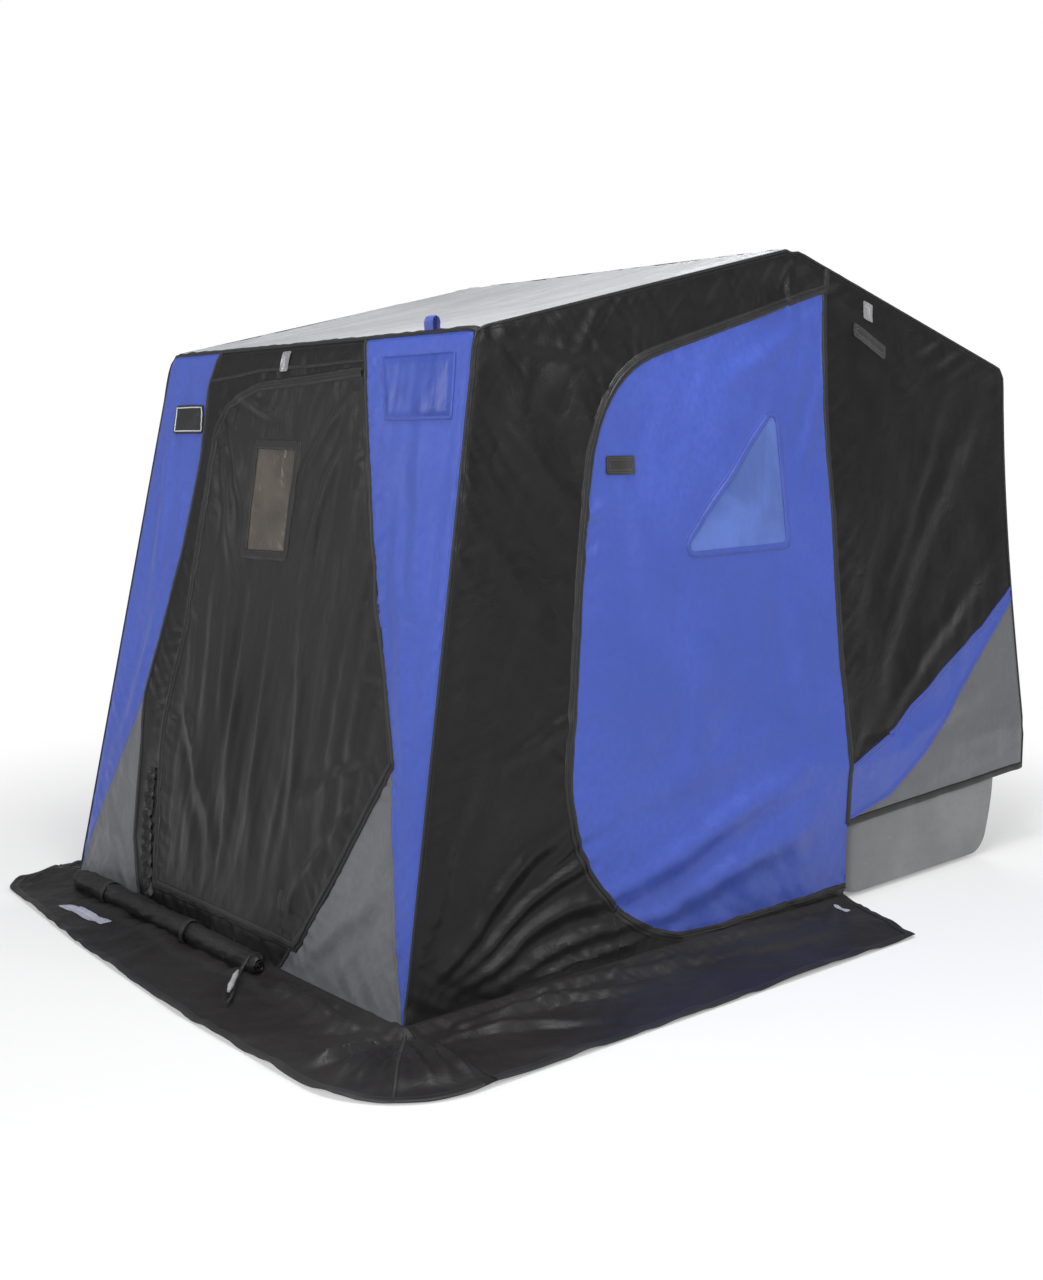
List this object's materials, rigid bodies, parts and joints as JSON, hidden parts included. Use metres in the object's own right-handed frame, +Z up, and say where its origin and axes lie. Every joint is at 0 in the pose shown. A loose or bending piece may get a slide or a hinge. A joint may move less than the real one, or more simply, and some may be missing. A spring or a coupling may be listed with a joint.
{
  "type": "ice fishing shelter",
  "caption": "Flip-over ice fishing shelter: a moulded sled with telescoping folding bows and a sewn canopy with a front door, side doors, windows and a ground skirt.",
  "frame": {"origin": "on the ice, under the middle of the outline of the set-up shelter, skirt included", "axes": "+X along the sled, toward the right of someone facing the front door; +Y from the front wall toward the sled; +Z up"},
  "size_m": [2.638, 3.142, 2.0306],
  "materials": {
    "sled_plastic": "moulded satin grain",
    "runner_plastic": "smooth",
    "zinc_steel": "black powder coat",
    "bolt_steel": "zinc plated",
    "pole_steel": "grey powder coat",
    "black_plastic": "moulded",
    "lever_plastic": "moulded",
    "grey_plastic": "moulded",
    "silver_cloth": "coated oxford weave",
    "black_cloth": "quilted coated oxford weave",
    "blue_cloth": "coated oxford weave",
    "grey_cloth": "coated oxford weave",
    "skirt_cloth": "coated oxford weave",
    "blue_webbing": "woven webbing",
    "hook_tape": "hook and loop pile",
    "reflective_tape": "glass bead tape",
    "badge_rubber": "moulded soft rubber",
    "clear_vinyl": "clear flexible film"
  },
  "bodies": {
    "sled": {"sled_tub": "sled_plastic", "sled_runners": "runner_plastic", "tow_hitch": "zinc_steel", "hitch_bolts": "bolt_steel", "pivot_brackets": "zinc_steel", "pivot_pins": "bolt_steel", "bracket_bolts": "bolt_steel", "rear_roof": "silver_cloth", "rear_wall": "black_cloth", "rear_side_right": "black_cloth", "rear_side_left": "black_cloth", "blue_flashes": "blue_cloth", "lower_band": "grey_cloth", "vent_patches": "hook_tape", "rear_tags": "reflective_tape"},
    "front_lower": {"front_lower_poles": "pole_steel", "front_collars": "black_plastic", "side_skirt_right": "skirt_cloth", "side_skirt_left": "skirt_cloth"},
    "front_upper": {"front_upper_poles": "pole_steel", "front_elbows": "black_plastic", "front_crossbar": "pole_steel", "front_surround": "black_cloth", "corner_strips": "blue_cloth", "lower_gussets": "grey_cloth", "front_roof": "silver_cloth", "side_panel_right": "black_cloth", "side_panel_left": "black_cloth", "front_skirt": "skirt_cloth", "sill_roll": "skirt_cloth", "pocket_window": "clear_vinyl", "badge_patch": "badge_rubber", "tie_down_loop": "blue_webbing", "front_tag": "reflective_tape"},
    "front_door": {"front_door": "black_cloth", "front_window": "clear_vinyl", "front_door_pull": "grey_plastic"},
    "side_door_right": {"side_door_right": "blue_cloth", "side_window_right": "clear_vinyl", "door_tab_right": "hook_tape"},
    "side_door_left": {"side_door_left": "blue_cloth", "side_window_left": "clear_vinyl", "door_tab_left": "hook_tape"},
    "main_lower": {"main_lower_poles": "pole_steel", "main_collars": "black_plastic"},
    "main_upper": {"main_upper_poles": "pole_steel", "main_elbows": "black_plastic", "main_crossbar": "pole_steel"},
    "rear_lower": {"rear_lower_poles": "pole_steel", "rear_collars": "black_plastic"},
    "rear_upper": {"rear_upper_poles": "pole_steel", "rear_elbows": "black_plastic", "rear_crossbar": "pole_steel"},
    "front_lever_right": {"front_lever_right": "lever_plastic"},
    "front_lever_left": {"front_lever_left": "lever_plastic"},
    "main_lever_right": {"main_lever_right": "lever_plastic"},
    "main_lever_left": {"main_lever_left": "lever_plastic"},
    "rear_lever_right": {"rear_lever_right": "lever_plastic"},
    "rear_lever_left": {"rear_lever_left": "lever_plastic"}
  },
  "joints": [
    {"name": "front_fold", "type": "hinge", "parent": "sled", "child": "front_lower", "pos_m": [0, 0.486, 0.462], "axis": [-1, 0, 0], "range_deg": [0, 124], "deforming": ["badge_patch", "blue_flashes", "corner_strips", "door_tab_left", "door_tab_right", "front_door", "front_door_pull", "front_roof", "front_skirt", "front_surround", "front_tag", "front_window", "lower_band", "lower_gussets", "pocket_window", "rear_roof", "rear_side_left", "rear_side_right", "rear_tags", "rear_wall", "side_door_left", "side_door_right", "side_panel_left", "side_panel_right", "side_skirt_left", "side_skirt_right", "side_window_left", "side_window_right", "sill_roll", "tie_down_loop", "vent_patches"]},
    {"name": "front_slide", "type": "slide", "parent": "front_lower", "child": "front_upper", "axis": [0, 0.7329, -0.6804], "range_m": [0, 0.8202]},
    {"name": "main_fold", "type": "hinge", "parent": "sled", "child": "main_lower", "pos_m": [0, 0.486, 0.462], "axis": [-1, 0, 0], "range_deg": [0, 85.01]},
    {"name": "main_slide", "type": "slide", "parent": "main_lower", "child": "main_upper", "axis": [0, 0.056, -0.9984], "range_m": [0, 0.6672]},
    {"name": "rear_fold", "type": "hinge", "parent": "sled", "child": "rear_lower", "pos_m": [0, 0.486, 0.462], "axis": [-1, 0, 0], "range_deg": [0, 45.51]},
    {"name": "rear_slide", "type": "slide", "parent": "rear_lower", "child": "rear_upper", "axis": [0, -0.6627, -0.7489], "range_m": [0, 0.6922]},
    {"name": "side_door_right", "type": "hinge", "parent": "main_lower", "child": "side_door_right", "pos_m": [0.9765, 0.45057, 0.06], "axis": [-0.1086, 0.0591, 0.9923], "range_deg": [0, 110]},
    {"name": "side_door_left", "type": "hinge", "parent": "main_lower", "child": "side_door_left", "pos_m": [-0.9765, 0.45057, 0.06], "axis": [-0.1086, -0.0591, -0.9923], "range_deg": [0, 110]},
    {"name": "front_door", "type": "hinge", "parent": "front_upper", "child": "front_door", "pos_m": [0.704, -1.10767, 0.63], "axis": [-0.339, 0.1878, 0.9218], "range_deg": [0, 110]},
    {"name": "front_lever_right", "type": "hinge", "parent": "front_lower", "child": "front_lever_right", "pos_m": [0.766, -0.2218, 1.08707], "axis": [-1, 0, 0], "range_deg": [0, 95]},
    {"name": "front_lever_left", "type": "hinge", "parent": "front_lower", "child": "front_lever_left", "pos_m": [-0.766, -0.2218, 1.08707], "axis": [-1, 0, 0], "range_deg": [0, 95]},
    {"name": "main_lever_right", "type": "hinge", "parent": "main_lower", "child": "main_lever_right", "pos_m": [0.738, 0.41777, 1.25843], "axis": [-1, 0, 0], "range_deg": [0, 95]},
    {"name": "main_lever_left", "type": "hinge", "parent": "main_lower", "child": "main_lever_left", "pos_m": [-0.738, 0.41777, 1.25843], "axis": [-1, 0, 0], "range_deg": [0, 95]},
    {"name": "rear_lever_right", "type": "hinge", "parent": "rear_lower", "child": "rear_lever_right", "pos_m": [0.71, 1.01781, 1.09838], "axis": [-1, 0, 0], "range_deg": [0, 95]},
    {"name": "rear_lever_left", "type": "hinge", "parent": "rear_lower", "child": "rear_lever_left", "pos_m": [-0.71, 1.01781, 1.09838], "axis": [-1, 0, 0], "range_deg": [0, 95]}
  ],
  "couplings": [
    {"joint": "front_slide", "follows": "front_fold", "m_per_rad": 0.37889},
    {"joint": "main_fold", "follows": "front_fold", "ratio": 0.68548},
    {"joint": "main_slide", "follows": "front_fold", "m_per_rad": 0.3082},
    {"joint": "rear_fold", "follows": "front_fold", "ratio": 0.36694},
    {"joint": "rear_slide", "follows": "front_fold", "m_per_rad": 0.31975}
  ]
}
